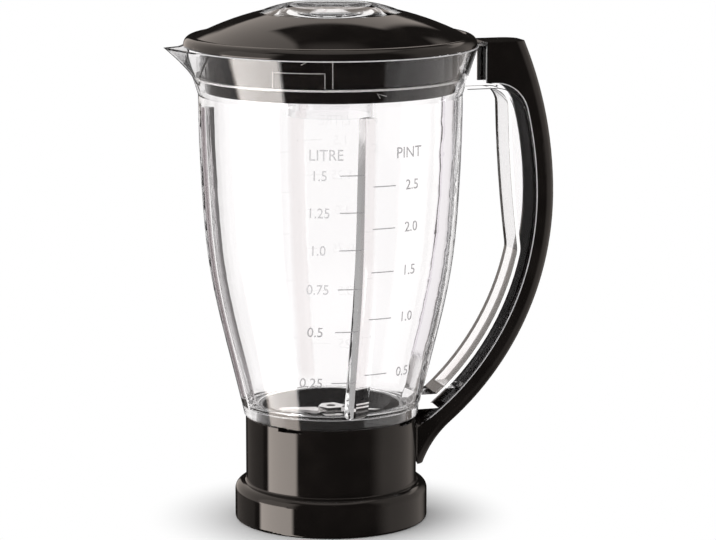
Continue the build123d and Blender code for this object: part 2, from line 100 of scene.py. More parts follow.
def build_moulded_skin():
    """Slow waves as a height and a patchy haze from 0 to 1."""
    tree = bpy.data.node_groups.new("moulded_skin", "ShaderNodeTree")
    for direction, names in (("INPUT", ("Wave Scale", "Haze Scale")), ("OUTPUT", ("Height", "Haze"))):
        for name in names:
            tree.interface.new_socket(name, in_out=direction, socket_type="NodeSocketFloat")
    sockets_in = add_node(tree, "NodeGroupInput")
    sockets_out = add_node(tree, "NodeGroupOutput")
    place = add_node(tree, "ShaderNodeTexCoord")
    wave = add_node(tree, "ShaderNodeTexNoise", Detail=wave_detail)
    haze = add_node(tree, "ShaderNodeTexNoise", Detail=haze_detail)
    wire(tree, place.outputs["Object"], wave.inputs["Vector"])
    wire(tree, place.outputs["Object"], haze.inputs["Vector"])
    wire(tree, sockets_in.outputs["Wave Scale"], wave.inputs["Scale"])
    wire(tree, sockets_in.outputs["Haze Scale"], haze.inputs["Scale"])
    wire(tree, wave.outputs["Fac"], sockets_out.inputs["Height"])
    wire(tree, fade(tree, haze.outputs["Fac"], haze_none, haze_full), sockets_out.inputs["Haze"])
    return tree


moulded_skin = build_moulded_skin()
print("group:", moulded_skin.name, "with", len(moulded_skin.nodes), "nodes")


# %% Helpers: a range, a bump and the skin
def between(tree, share, low, high):
    """A socket that runs from low to high as a share runs from 0 to 1."""
    node = add_node(tree, "ShaderNodeMapRange")
    node.inputs["To Min"].default_value = low
    node.inputs["To Max"].default_value = high
    wire(tree, share, node.inputs["Value"])
    return node.outputs["Result"]


def add_bump(tree, shader, height, distance, **values):
    """Bend a shader's normal over a height, as if it were so many millimetres deep."""
    bump = add_node(tree, "ShaderNodeBump", Distance=distance * MM, **values)
    wire(tree, height, bump.inputs["Height"])
    wire(tree, bump.outputs["Normal"], shader.inputs["Normal"])


def add_skin(tree, shader, wave_scale, haze_scale, smooth, hazy, bump):
    """Roughness from smooth to hazy over the haze, and the waves as a bump of a height in millimetres."""
    skin = add_node(tree, "ShaderNodeGroup", node_tree=moulded_skin)
    skin.inputs["Wave Scale"].default_value = wave_scale
    skin.inputs["Haze Scale"].default_value = haze_scale
    wire(tree, between(tree, skin.outputs["Haze"], smooth, hazy), shader.inputs["Roughness"])
    add_bump(tree, shader, skin.outputs["Height"], bump)
    return skin


# %% Helpers: two tones and an empty material
def mix_colours(tree, share, first, second):
    """A colour from the first to the second over a share; each is a socket or red, green and blue."""
    node = add_node(tree, "ShaderNodeMix", data_type="RGBA")
    colour_sockets = [socket for socket in node.inputs if socket.type == "RGBA"]
    for socket, colour in zip(colour_sockets, (first, second)):
        if isinstance(colour, tuple):
            socket.default_value = (*colour, 1.0)
        else:
            wire(tree, colour, socket)
    wire(tree, share, node.inputs["Factor"])
    return [socket for socket in node.outputs if socket.type == "RGBA"][0]


def add_two_tones(tree, shader, skin, first, second):
    """Base colour between two tones over the haze."""
    wire(tree, mix_colours(tree, skin.outputs["Haze"], first, second), shader.inputs["Base Color"])


def empty_material(name):
    """A material with a Principled shader on its output."""
    material = bpy.data.materials.new(name)
    material.use_nodes = True
    tree = material.node_tree
    tree.nodes.clear()
    shader = add_node(tree, "ShaderNodeBsdfPrincipled")
    output = add_node(tree, "ShaderNodeOutputMaterial")
    wire(tree, shader.outputs["BSDF"], output.inputs["Surface"])
    return material, tree, shader, output


# %% [markdown]
# ## Black gloss plastic
#
# Lid, collar and handle cover are moulded in a warm black with a high gloss. A black gloss surface shows almost
# nothing but reflections. A lighter grey would look wrong beside them, so the colour stays near zero and the
# studio does the rest.

# %% Material: black gloss plastic
plastic_ior = 1.5
warm_black, handled_black = (0.0075, 0.0062, 0.0056), (0.011, 0.009, 0.008)


def make_black_gloss():
    material, tree, shader, _ = empty_material("black_gloss_plastic")
    skin = add_skin(tree, shader, wave_scale=34.0, haze_scale=60.0, smooth=0.035, hazy=0.09, bump=0.02)
    add_two_tones(tree, shader, skin, warm_black, handled_black)
    shader.inputs["IOR"].default_value = plastic_ior
    return material


black_gloss = make_black_gloss()
print("material:", black_gloss.name)

# %% [markdown]
# ## Finding the goblet's ribs
#
# Four ribs run up the inside of the goblet, where the clear plastic is thickest. They need a look of their own:
# all show a faint violet grey, the rib on the spout's side is much darker, a painted shade in its base colour,
# and the rib at the handle is light and even. The ribs could be pieces of their own, but the goblet is one
# moulding, so masks in its material find them. The ribs lie on the X and Y axes. The smaller distance from these
# axes says how near to a rib a point is, and the larger one how far out it lies.

# %% Masks of the ribs
rib_head = 221.8, 221.2
crest_edge, crest_reach, crest_foot = (4.5, 3.0), (78.0, 74.0), (63.0, 70.0)
spout_side = -30.0, -34.0
handle_side = 30.0, 34.0
handle_rib_edge, handle_rib_reach, handle_rib_foot = (9.6, 9.2), (71.5, 70.5), (80.0, 86.0)
way_out_margin = 3.5


def calc(tree, operation, *values):
    """The result of a Math node whose values are sockets or plain numbers."""
    node = add_node(tree, "ShaderNodeMath", operation=operation)
    for socket, value in zip(node.inputs, values):
        if isinstance(value, (int, float)):
            socket.default_value = value
        else:
            wire(tree, value, socket)
    return node.outputs["Value"]


def narrow(tree, mask, *fades):
    """A mask times fades of values, each from none at one place to full at another, in millimetres."""
    for value, (none, full) in fades:
        mask = calc(tree, "MULTIPLY", mask, fade(tree, value, none * MM, full * MM))
    return mask


def find_ribs(tree):
    """Three masks from Object coordinates: all the ribs' crests, the spout's rib and the handle's rib."""
    place = add_node(tree, "ShaderNodeTexCoord")
    parts = add_node(tree, "ShaderNodeSeparateXYZ")
    wire(tree, place.outputs["Object"], parts.inputs["Vector"])
    across, height = parts.outputs["X"], parts.outputs["Z"]
    from_axes = [calc(tree, "ABSOLUTE", parts.outputs[axis]) for axis in "XY"]
    nearest = calc(tree, "MINIMUM", *from_axes)
    farthest = calc(tree, "MAXIMUM", *from_axes)
    crests = narrow(tree, 1.0, (nearest, crest_edge), (farthest, crest_reach), (height, crest_foot),
                    (height, rib_head))
    # The spout's rib mask places that rib's painted shade.
    spout_rib = narrow(tree, crests, (across, spout_side))
    # Light that comes in within the mask has to leave within it, so the mask is wider on the way out.
    facing = add_node(tree, "ShaderNodeNewGeometry")
    way_out = facing.outputs["Backfacing"]
    entry = calc(tree, "MULTIPLY_ADD", way_out, -way_out_margin * MM, nearest)
    handle_rib = narrow(tree, 1.0, (entry, handle_rib_edge), (farthest, handle_rib_reach),
                        (across, handle_side), (height, handle_rib_foot), (height, rib_head))
    return crests, spout_rib, handle_rib


print("ribs: masks end at a height of", rib_head[0], "mm")

# %% [markdown]
# ## Clear plastic
#
# The goblet and the filler cap are clear. A Principled shader with full transmission bends and mirrors light as
# the plastic does. Two things pass straight through instead, by a transparent shader. Shadow rays do, because
# light on its way to a lamp would cost many bounces. The rib at the handle does too, because its flanks would
# throw the black cover's image to and fro, where the real rib is light.

# %% Material: clear plastic
clear_colour = (1.0, 0.996, 1.0)
# The faint rib tint is the thick plastic's own; the spout rib's much darker colour is painted shade.
rib_tint, spout_rib_painted_shade = (0.92, 0.893, 0.895), (0.3, 0.265, 0.28)
passing_colour = (0.93, 0.92, 0.935)


def add_rib_tint_and_shade(tree, shader, crests, spout_rib):
    """Base colour of the ribbed goblet: a faint tint on the ribs, and a painted shade on the spout's rib."""
    colour = mix_colours(tree, crests, clear_colour, rib_tint)
    colour = mix_colours(tree, spout_rib, colour, spout_rib_painted_shade)
    wire(tree, colour, shader.inputs["Base Color"])


def make_clear_plastic(name, ribbed):
    material, tree, shader, output = empty_material(name)
    add_skin(tree, shader, wave_scale=20.0, haze_scale=45.0, smooth=0.0, hazy=0.02, bump=0.01)
    shader.inputs["Transmission Weight"].default_value = 1.0
    shader.inputs["Base Color"].default_value = (*clear_colour, 1.0)
    shader.inputs["IOR"].default_value = plastic_ior
    passing = add_node(tree, "ShaderNodeBsdfTransparent")
    passing.inputs["Color"].default_value = (*passing_colour, 1.0)
    rays = add_node(tree, "ShaderNodeLightPath")
    straight = rays.outputs["Is Shadow Ray"]
    if ribbed:
        crests, spout_rib, handle_rib = find_ribs(tree)
        add_rib_tint_and_shade(tree, shader, crests, spout_rib)
        straight = calc(tree, "MAXIMUM", straight, handle_rib)
    choice = add_node(tree, "ShaderNodeMixShader")
    wire(tree, straight, choice.inputs["Fac"])
    wire(tree, shader.outputs["BSDF"], choice.inputs[1])
    wire(tree, passing.outputs["BSDF"], choice.inputs[2])
    wire(tree, choice.outputs["Shader"], output.inputs["Surface"])
    return material


clear_plastic = make_clear_plastic("clear_plastic", ribbed=True)
clear_cap = make_clear_plastic("clear_cap", ribbed=False)
print("materials:", clear_plastic.name, clear_cap.name)

# %% [markdown]
# ## Bright steel
#
# The blades, the shaft and the nut are stainless steel with fine grinding lines. An anisotropic shader could
# smear their highlights, but it shows no single lines. Noise that is stretched far along one axis does, and it
# drives both the roughness and a very low bump.

# %% Material: bright steel
steel_grey = (0.74, 0.73, 0.72)
grinding_stretch = (90.0, 1400.0, 90.0)
ground_smooth, ground_rough = 0.1, 0.28
ground_depth = 0.01


def make_bright_steel():
    material, tree, shader, _ = empty_material("bright_steel")
    place = add_node(tree, "ShaderNodeTexCoord")
    stretch = add_node(tree, "ShaderNodeMapping", Scale=grinding_stretch)
    lines = add_node(tree, "ShaderNodeTexNoise", Scale=1.0, Detail=3.0)
    wire(tree, place.outputs["Object"], stretch.inputs["Vector"])
    wire(tree, stretch.outputs["Vector"], lines.inputs["Vector"])
    wire(tree, between(tree, lines.outputs["Fac"], ground_smooth, ground_rough), shader.inputs["Roughness"])
    add_bump(tree, shader, lines.outputs["Fac"], ground_depth, Strength=0.3)
    shader.inputs["Base Color"].default_value = (*steel_grey, 1.0)
    shader.inputs["Metallic"].default_value = 1.0
    return material


bright_steel = make_bright_steel()
print("material:", bright_steel.name)

# %% [markdown]
# ## Seals, bronze and satin plastic
#
# The large seals are pale silicone and the shaft's lip seal is dark rubber. The bushes are sintered bronze, and
# the coupling under the jar is a satin moulding. They are small or hidden, so one recipe serves them all: two
# close tones over the moulded skin, with a roughness that suits each.


# %% Materials: silicone, rubber, bronze, satin plastic
def make_plain(name, first, second, smooth, hazy, metallic=0.0, wave_scale=80.0, haze_scale=300.0, bump=0.02):
    """A material of two close tones with the moulded skin."""
    material, tree, shader, _ = empty_material(name)
    skin = add_skin(tree, shader, wave_scale, haze_scale, smooth, hazy, bump)
    add_two_tones(tree, shader, skin, first, second)
    shader.inputs["Metallic"].default_value = metallic
    return material


pale_silicone = make_plain("pale_silicone", (0.7, 0.69, 0.67), (0.78, 0.77, 0.75), smooth=0.3, hazy=0.45)
dark_rubber = make_plain("dark_rubber", (0.015, 0.015, 0.015), (0.03, 0.03, 0.03), smooth=0.5, hazy=0.7)
bearing_bronze = make_plain("bearing_bronze", (0.42, 0.27, 0.13), (0.55, 0.37, 0.2), smooth=0.3, hazy=0.5,
                            metallic=1.0)
satin_black = make_plain("satin_black_plastic", (0.02, 0.02, 0.02), (0.035, 0.034, 0.033), smooth=0.35, hazy=0.5)
print("materials so far:", len(bpy.data.materials))

# %% [markdown]
# ## Dressing the CAD pieces
#
# A CAD mesh is fine enough to show as it is, so the pieces keep their shapes and only get a finish. The record
# names a material slot for each piece, and a small table turns the slot into a material. The filler cap shares
# the goblet's slot but has no ribs, so it gets the plain clear plastic.

# %% Give every CAD piece its finish
finishes = {
    "clear_plastic": clear_plastic,
    "black_plastic": black_gloss,
    "pale_silicone": pale_silicone,
    "dark_rubber": dark_rubber,
    "bearing_bronze": bearing_bronze,
    "steel": bright_steel,
    "coupling_plastic": satin_black,
}
for part in frame["record"]["subparts"]:
    piece = frame["nodes"][part["node"]]
    piece.data.materials.clear()
    piece.data.materials.append(finishes[part["material_slot"]])
frame["nodes"]["filler_cap"].data.materials[0] = clear_cap
print("dressed:", len(frame["nodes"]), "CAD pieces")

# %% [markdown]
# ## The moulded scale
#
# The scale is raised on the goblet's wall, in litres on one side of the front rib and in pints on the other,
# and once more on the back. Its marks could be drawn in a texture, but on the real jar they stand proud and
# catch the light, so they are made as thin relief. A ray from outside finds the wall behind each point, and so
# the relief follows the wall's double curve.

# %% Find the wall behind a point
FRONT, BACK = -1, 1
clear_of_wall = 200.0


def skin_of(node):
    """A search tree over the faces of a CAD piece."""
    mesh = frame["nodes"][node].data
    return BVHTree.FromPolygons(
        [vertex.co for vertex in mesh.vertices],
        [face.vertices for face in mesh.polygons],
    )


def touch(skin, start, direction, lift=0.0):
    """Where a ray from a point in millimetres first meets a skin, lifted off it by so many millimetres."""
    place, normal, _, _ = skin.ray_cast(Vector(start) * MM, Vector(direction))
    return place + normal * lift * MM


def on_wall(across, height, side, lift):
    """The place on the goblet's outside at millimetres across and up, seen from one side, and lifted off it."""
    return touch(jar_skin, (-side * across, side * clear_of_wall, height), (0, -side, 0), lift)


jar_skin = skin_of("jar")
print("wall in mm, half-way up the front rib:", [round(value / MM, 1) for value in on_wall(0, 150, FRONT, 0)])

# %% [markdown]
# ## Finish of the relief
#
# Raised marks in clear plastic scatter a little light on their outside, so they look pale grey and half
# see-through from there. Through the wall, from the other side, they are hardly visible. Clear plastic alone
# would lose them, so the outside is a thin grey that fades where it is seen from behind, and the inner side has
# a fainter finish of its own.

# %% Materials: frosted relief and its inner side
relief_grey = (0.36, 0.35, 0.36), (0.44, 0.43, 0.44)
# A paler copy of the relief's grey, which paints light on some letters.
relief_painted_light = (0.62, 0.61, 0.62), (0.7, 0.69, 0.7)
opacity_ahead, opacity_behind, opacity_inner = 0.88, 0.04, 0.03


def make_relief(name, first, second, ahead, behind):
    """Two tones of grey whose opacity is one value seen from outside and another seen from behind."""
    material, tree, shader, _ = empty_material(name)
    skin = add_skin(tree, shader, wave_scale=400.0, haze_scale=900.0, smooth=0.3, hazy=0.5, bump=0.01)
    add_two_tones(tree, shader, skin, first, second)
    if ahead == behind:
        shader.inputs["Alpha"].default_value = ahead
    else:
        facing = add_node(tree, "ShaderNodeNewGeometry")
        wire(tree, between(tree, facing.outputs["Backfacing"], ahead, behind), shader.inputs["Alpha"])
    return material


frosted_relief = make_relief("frosted_relief", *relief_grey, opacity_ahead, opacity_behind)
painted_light_relief = make_relief("painted_light_relief", *relief_painted_light, opacity_ahead, opacity_behind)
relief_inside = make_relief("relief_inside", *relief_grey, opacity_inner, opacity_inner)
print("materials:", frosted_relief.name, painted_light_relief.name, relief_inside.name)

# %% [markdown]
# ## Strokes that follow the wall
#
# Each mark of the scale is a short raised stroke. Strokes could be modelled one by one, but they are all the
# same idea. A mesh of bare edges gives the course of each over the wall, and a Geometry Nodes tree sweeps a
# small round section along every edge, so one tree makes all the strokes.

# %% Tree: raised strokes
section_corners = 8


def build_raised_strokes():
    tree = bpy.data.node_groups.new("raised_strokes", "GeometryNodeTree")
    tree.interface.new_socket("Geometry", in_out="INPUT", socket_type="NodeSocketGeometry")
    tree.interface.new_socket("Stroke Width", in_out="INPUT", socket_type="NodeSocketFloat")
    tree.interface.new_socket("Finish", in_out="INPUT", socket_type="NodeSocketMaterial")
    tree.interface.new_socket("Geometry", in_out="OUTPUT", socket_type="NodeSocketGeometry")
    sockets_in = add_node(tree, "NodeGroupInput")
    sockets_out = add_node(tree, "NodeGroupOutput")
    course = add_node(tree, "GeometryNodeMeshToCurve")
    section = add_node(tree, "GeometryNodeCurvePrimitiveCircle", Resolution=section_corners)
    sweep = add_node(tree, "GeometryNodeCurveToMesh", Fill_Caps=True)
    real = add_node(tree, "GeometryNodeRealizeInstances")
    finish = add_node(tree, "GeometryNodeSetMaterial")
    wire(tree, sockets_in.outputs["Geometry"], course.inputs["Mesh"])
    wire(tree, calc(tree, "MULTIPLY", sockets_in.outputs["Stroke Width"], 0.5), section.inputs["Radius"])
    wire(tree, course.outputs["Curve"], sweep.inputs["Curve"])
    wire(tree, section.outputs["Curve"], sweep.inputs["Profile Curve"])
    wire(tree, sweep.outputs["Mesh"], real.inputs["Geometry"])
    wire(tree, real.outputs["Geometry"], finish.inputs["Geometry"])
    wire(tree, sockets_in.outputs["Finish"], finish.inputs["Material"])
    wire(tree, finish.outputs["Geometry"], sockets_out.inputs["Geometry"])
    return tree


raised_strokes = build_raised_strokes()
print("tree:", raised_strokes.name, "with", len(raised_strokes.nodes), "nodes")


# %% Helper: sweep strokes into a plain mesh
def sweep_strokes(courses, width, finish):
    """A plain mesh of round strokes of a width in millimetres, one along each course of points."""
    places, edges = [], []
    for course in courses:
        first = len(places)
        places.extend(course)
        edges.extend((first + step, first + step + 1) for step in range(len(course) - 1))
    mesh = bpy.data.meshes.new("stroke_courses")
    mesh.from_pydata(places, edges, [])
    holder = bpy.data.objects.new("stroke_courses", mesh)
    bpy.context.scene.collection.objects.link(holder)
    modifier = holder.modifiers.new("strokes", "NODES")
    modifier.node_group = raised_strokes
    values = {"Stroke Width": width * MM, "Finish": finish}
    for socket in raised_strokes.interface.items_tree:
        if socket.in_out == "INPUT" and socket.name in values:
            modifier[socket.identifier] = values[socket.name]
    shown = holder.evaluated_get(bpy.context.evaluated_depsgraph_get())
    swept = bpy.data.meshes.new_from_object(shown)
    bpy.data.objects.remove(holder)
    bpy.data.meshes.remove(mesh)
    return swept


# %% [markdown]
# ## Numbers that lie on the wall
#
# The numbers and the two titles are raised like the strokes. A flat text in front of the wall would float, and
# a projected one would cost many faces. Blender's own text becomes a mesh here, and every corner of it is
# carried to the wall, the face of a letter just outside and its back just inside.

# %% Helper: raised lettering
relief_height = 0.12
letter_narrowing = 0.86
letter_curve_steps = 3
letter_depth = 0.1


def raised_words(words, capital, across, height, side):
    """Corners and faces of words with capitals of a height in millimetres, centred at a place on the wall."""
    curve = bpy.data.curves.new("words", "FONT")
    curve.body = words
    curve.extrude = letter_depth
    curve.resolution_u = letter_curve_steps
    holder = bpy.data.objects.new("words", curve)
    bpy.context.scene.collection.objects.link(holder)
    shown = holder.evaluated_get(bpy.context.evaluated_depsgraph_get())
    mesh = bpy.data.meshes.new_from_object(shown)
    flat = np.array([vertex.co for vertex in mesh.vertices])
    low, high = flat.min(axis=0), flat.max(axis=0)
    flat[:, :2] = (flat[:, :2] - (low + high)[:2] / 2) * capital / (high - low)[1]
    flat[:, 0] *= letter_narrowing
    corners = [on_wall(across + u, height + v, side, relief_height if w > 0 else -relief_height)
               for u, v, w in flat]
    faces = [tuple(face.vertices) for face in mesh.polygons]
    bpy.data.objects.remove(holder)
    bpy.data.curves.remove(curve)
    bpy.data.meshes.remove(mesh)
    return corners, faces


print("letters:", relief_height, "mm proud and", letter_narrowing, "of their usual width")

# %% [markdown]
# ## Laying out the scale
#
# The marks stand where the goblet holds that much, so they draw together towards the wide top. They could all
# be placed by eye, but then litres and pints might not agree. So only the litre marks are given, and the pint
# marks are worked out between them.

# %% Places of the ticks and words
litre_marks = {0.25: 83.0, 0.5: 111.0, 0.75: 133.9, 1.0: 154.4, 1.25: 173.8, 1.5: 192.9}
pint_marks = (0.5, 1.0, 1.5, 2.0, 2.5)
litres_in_pint = 0.568
tick_start, tick_end = 2.4, 14.6
litre_numbers, pint_numbers = -24.3, 24.2
litre_title, pint_title = -21.3, 22.4
number_capital, title_capital = 5.2, 5.5
title_height = 203.5


def lay_out_scale():
    """Ticks as start, end and height, and words as text, capital, place across and height."""
    ticks = [(-tick_end, -tick_start, height) for height in litre_marks.values()]
    words = [(f"{mark:g}" if mark % 1 else f"{mark:.1f}", number_capital, litre_numbers, height)
             for mark, height in litre_marks.items()]
    for mark in pint_marks:
        height = float(np.interp(mark * litres_in_pint, list(litre_marks), list(litre_marks.values())))
        ticks.append((tick_start, tick_end, height))
        words.append((f"{mark:.1f}", number_capital, pint_numbers, height))
    words.append(("LITRE", title_capital, litre_title, title_height))
    words.append(("PINT", title_capital, pint_title, title_height))
    return ticks, words


scale_ticks, scale_words = lay_out_scale()
print("scale:", len(scale_ticks), "ticks and", len(scale_words), "words")

# %% The scale on the front and on the back
tick_width = 0.55
tick_points = 9
painted_light_above = 120.0
scale_finishes = frosted_relief, painted_light_relief, relief_inside


def finish_scale(mesh, paler):
    """Give each face its finish: the fainter one inside, and outside a grey or, for some faces, a paler grey that
    is painted light.
    """
    for finish in scale_finishes:
        mesh.materials.append(finish)
    for face in mesh.polygons:
        outward = Vector((face.center.x, face.center.y, 0.0))
        if face.normal.dot(outward) <= 0:
            finish = relief_inside
        else:
            finish = painted_light_relief if face.index in paler else frosted_relief
        face.material_index = scale_finishes.index(finish)


def make_scale(name, side):
    """One side of the scale as a single piece that rides on the goblet."""
    courses = [[on_wall(across, height, side, 0.0) for across in np.linspace(start, end, tick_points)]
               for start, end, height in scale_ticks]
    strokes = sweep_strokes(courses, tick_width, frosted_relief)
    corners = [vertex.co.copy() for vertex in strokes.vertices]
    faces = [tuple(face.vertices) for face in strokes.polygons]
    paler = set()
    for text, capital, across, height in scale_words:
        more_corners, more_faces = raised_words(text, capital, across, height, side)
        # The litre words above this height get the paler grey, as painted light.
        if across < 0 and height > painted_light_above:
            paler.update(range(len(faces), len(faces) + len(more_faces)))
        shift = len(corners)
        corners.extend(more_corners)
        faces.extend(tuple(index + shift for index in face) for face in more_faces)
    whole = bpy.data.meshes.new(name)
    whole.from_pydata(corners, [], faces)
    finish_scale(whole, paler)
    piece = bpy.data.objects.new(name, whole)
    bpy.context.scene.collection.objects.link(piece)
    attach(piece, "jar")
    print(name, "has", len(faces), "faces,", len(paler), "of them paler")
    return piece


make_scale("scale_front", FRONT)
make_scale("scale_back", BACK)

# %% [markdown]
# ## Bright edges
#
# Moulded edges are never quite sharp: a fine round runs along each of them and catches the light as a thin
# line. On this jar the eye follows four such lines: the goblet's rim, the joint between the handle and its
# cover, a line along the handle's spine under the cover, and the pads on the lid's skirt. A bevel would change
# the CAD pieces, so a hair-thin bead is laid on each edge instead. The pale beads are painted highlights, and
# the dark one on the spine is painted shade.

# %% Materials and helpers for edge beads
# Pale greys for the beads that paint highlights on edges.
painted_highlight_edge = make_plain("painted_highlight_edge", (0.56, 0.54, 0.53), (0.72, 0.7, 0.69), smooth=0.2, hazy=0.35)
clear_painted_highlight = make_plain("clear_painted_highlight", (0.62, 0.61, 0.62), (0.74, 0.73, 0.74), smooth=0.2, hazy=0.35)
clear_of_jar = 120.0


def lay_beads(name, courses, width, finish, body):
    """Beads along courses as one piece that rides on a body."""
    piece = bpy.data.objects.new(name, sweep_strokes(courses, width, finish))
    bpy.context.scene.collection.objects.link(piece)
    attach(piece, body)
    print(name, "has", len(courses), "beads in", len(piece.data.polygons), "faces")
    return piece


def from_outside(skin, direction, height):
    """The place on a round piece's outside, at a direction in degrees about the axis and a height."""
    outward = Vector((math.cos(math.radians(direction)), math.sin(math.radians(direction)), 0.0))
    return touch(skin, outward * clear_of_jar + Vector((0, 0, height)), -outward)


print("materials:", painted_highlight_edge.name, clear_painted_highlight.name)

# %% [markdown]
# ## Rim of the goblet
#
# The flared rim ends in a narrow clear lip that shines all the way round, except where it runs out into the
# spout; a bead in pale grey paints that shine on as a highlight. A circle would miss the lip wherever the wall
# isn't quite round, so rays from outside find it, one for every step round the axis.

# %% Bead on the rim
rim_height = 251.4
rim_points = 181
rim_bead_width = 0.6
spout_half = 14.0
rim_directions = np.linspace(spout_half - 180.0, 180.0 - spout_half, rim_points)
rim_course = [from_outside(jar_skin, direction, rim_height) for direction in rim_directions]
# The rim's pale bead is a painted highlight.
lay_beads("rim_bead", [rim_course], rim_bead_width, clear_painted_highlight, "jar")

# %% [markdown]
# ## Joint of the handle and its cover
#
# The black cover is a shell that snaps over the handle's clear spine, and the joint shows as a pale line down
# both sides, painted on by beads in a pale grey as a highlight. Rays from the goblet's side meet the cover's
# inner edge at each height. They stand closer together at the top, where the edge turns into the arm.

# %% Beads on the joint
joint_bead_width = 0.5
joint_side = 11.9
joint_ray_start = 30.0
grip_heights = np.linspace(52.0, 225.0, 60)
turn_heights = np.linspace(226.0, 230.0, 12)
cover_skin = skin_of("handle_cover")
joint_courses = [
    [touch(cover_skin, (joint_ray_start, side * joint_side, height), (1, 0, 0))
     for height in np.concatenate([grip_heights, turn_heights])]
    for side in (FRONT, BACK)
]
# The joint's pale beads are painted highlights.
lay_beads("joint_bead", joint_courses, joint_bead_width, clear_painted_highlight, "jar")

# %% [markdown]
# ## Line along the handle's spine
#
# Under the cover, the top of the clear spine shows a dark line, painted on by a near-black bead as shade. It runs
# beside the joint, so its course is the joint's, moved down and in, and led on to the goblet's wall.

# %% Beads along the spine
# A near-black for the bead that paints shade along the spine.
painted_shade_edge = make_plain("painted_shade_edge", (0.05, 0.047, 0.045), (0.09, 0.085, 0.08), smooth=0.25, hazy=0.4)
spine_bead_width = 0.45
spine_drop = Vector((0, 0, -2.9 * MM))
spine_side = 10.4 * MM
spine_above = 185 * MM
spine_at_wall = 72.0 * MM
spine_courses = []
for side, joint_course in zip((FRONT, BACK), joint_courses):
    course = [place + spine_drop for place in joint_course[::-1] if place.z > spine_above]
    course.insert(0, Vector((spine_at_wall, 0, course[0].z)))
    spine_courses.append([Vector((place.x, side * spine_side, place.z)) for place in course])
lay_beads("spine_bead", spine_courses, spine_bead_width, painted_shade_edge, "jar")

# %% [markdown]
# ## Pads and moulding lines on the lid's skirt
#
# Three shallow pads stand out from the skirt and centre the lid in the goblet. Their outlines catch the light
# through the wall, and so do a mould line and two small glints beside the front pad. A texture could draw them;
# here beads in a pale grey paint these highlights on, like the other edges. They are given as directions and
# heights, and rays from outside carry them to the skirt.

# %% Beads on the lid
pad_bead_width = 0.45
pad_directions = (0.0, 120.0, 240.0)
pad_low, pad_high = 237.0, 244.9
pad_half = 11.25
pad_points = 15
lid_skin = skin_of("lid")
pad_courses = []
for direction in pad_directions:
    left, right = direction - pad_half, direction + pad_half
    outline = [(left, pad_low), (left, pad_high)]
    outline += [(step, pad_high) for step in np.linspace(left, right, pad_points)[1:]]
    outline.append((right, pad_low))
    pad_courses.append([from_outside(lid_skin, *place) for place in outline])
# The pale beads on the pads, the mould line and the two glints are painted highlights.
mould_line = [(254.5, 237.0), (254.5, 244.0), (254.5, 251.0)]
high_painted_glint = [(240.0, 250.6), (243.4, 250.3), (241.0, 249.0)]
low_painted_glint = [(278.6, 232.5), (274.2, 234.0), (275.6, 231.6)]
for course in (mould_line, high_painted_glint, low_painted_glint):
    pad_courses.append([from_outside(lid_skin, *place) for place in course])
lay_beads("pad_bead", pad_courses, pad_bead_width, painted_highlight_edge, "lid")

# %% [markdown]
# ## The floor
#
# The jar stands on a white sweep, a sheet that curves up behind it. The curve never shows, so a flat floor does.
# Under and beside the jar it is a lit surface that takes the shadow. Farther out it fades to plain white light,
# so that no edge or tone shows against the background. Mirrored and bent rays don't see it: the world gives
# them their own floor.

# %% Floor
floor_half = 6.0
floor_grey = (0.86, 0.86, 0.86)
shadow_full, shadow_none = 0.045, 0.1


def make_floor():
    mesh = bpy.data.meshes.new("floor")
    corners = [(-floor_half, -floor_half, 0), (floor_half, -floor_half, 0),
               (floor_half, floor_half, 0), (-floor_half, floor_half, 0)]
    mesh.from_pydata(corners, [], [(0, 1, 2, 3)])
    floor = bpy.data.objects.new("floor", mesh)
    bpy.context.scene.collection.objects.link(floor)
    material, tree, shader, output = empty_material("white_sweep")
    tree.nodes.remove(shader)
    lit = add_node(tree, "ShaderNodeBsdfDiffuse")
    lit.inputs["Color"].default_value = (*floor_grey, 1.0)
    white = add_node(tree, "ShaderNodeEmission")
    place = add_node(tree, "ShaderNodeTexCoord")
    away = add_node(tree, "ShaderNodeVectorMath", operation="LENGTH")
    blend = add_node(tree, "ShaderNodeMixShader")
    wire(tree, place.outputs["Object"], away.inputs[0])
    wire(tree, fade(tree, away.outputs["Value"], shadow_full, shadow_none), blend.inputs["Fac"])
    wire(tree, lit.outputs["BSDF"], blend.inputs[1])
    wire(tree, white.outputs["Emission"], blend.inputs[2])
    wire(tree, blend.outputs["Shader"], output.inputs["Surface"])
    mesh.materials.append(material)
    floor.visible_glossy = False
    floor.visible_transmission = False
    return floor


print("floor:", make_floor().name, "with a shadow out to", shadow_none / MM, "mm")

# %% [markdown]
# ## The room
#
# Gloss and clear plastic show the room more than themselves. A room of cards and lamps could be built, but each
# would also stand in the picture. Panels drawn on the world are easier to place. A panel is a patch of the
# sky, given by bearings and heights in degrees as seen from the jar: bearing 0 is straight ahead of the camera,
# behind the jar, and bearings grow to the right.

# %% Room: the bearing and height of a direction
ahead_axis, right_axis, up_axis = (0.284, 0.959, 0.0), (0.959, -0.284, 0.0), (0.0, 0.0, 1.0)
world = bpy.data.worlds.new("studio")
bpy.context.scene.world = world
world.use_nodes = True
room = world.node_tree
room.nodes.clear()
view = add_node(room, "ShaderNodeTexCoord")


def along(axis):
    """How far a direction of view runs along an axis."""
    node = add_node(room, "ShaderNodeVectorMath", operation="DOT_PRODUCT")
    node.inputs[1].default_value = axis
    wire(room, view.outputs["Generated"], node.inputs[0])
    return node.outputs["Value"]


ahead = along(ahead_axis)
bearing = calc(room, "DEGREES", calc(room, "ARCTAN2", along(right_axis), ahead))
lift = calc(room, "DEGREES", calc(room, "ARCSINE", along(up_axis)))
print("world:", world.name)


# %% Room: helpers for panels
def window(value, low, high, soft):
    """1 where a value lies between low and high and 0 elsewhere, with soft edges."""
    return calc(room, "MULTIPLY", fade(room, value, low - soft, low + soft),
                fade(room, value, high + soft, high - soft))


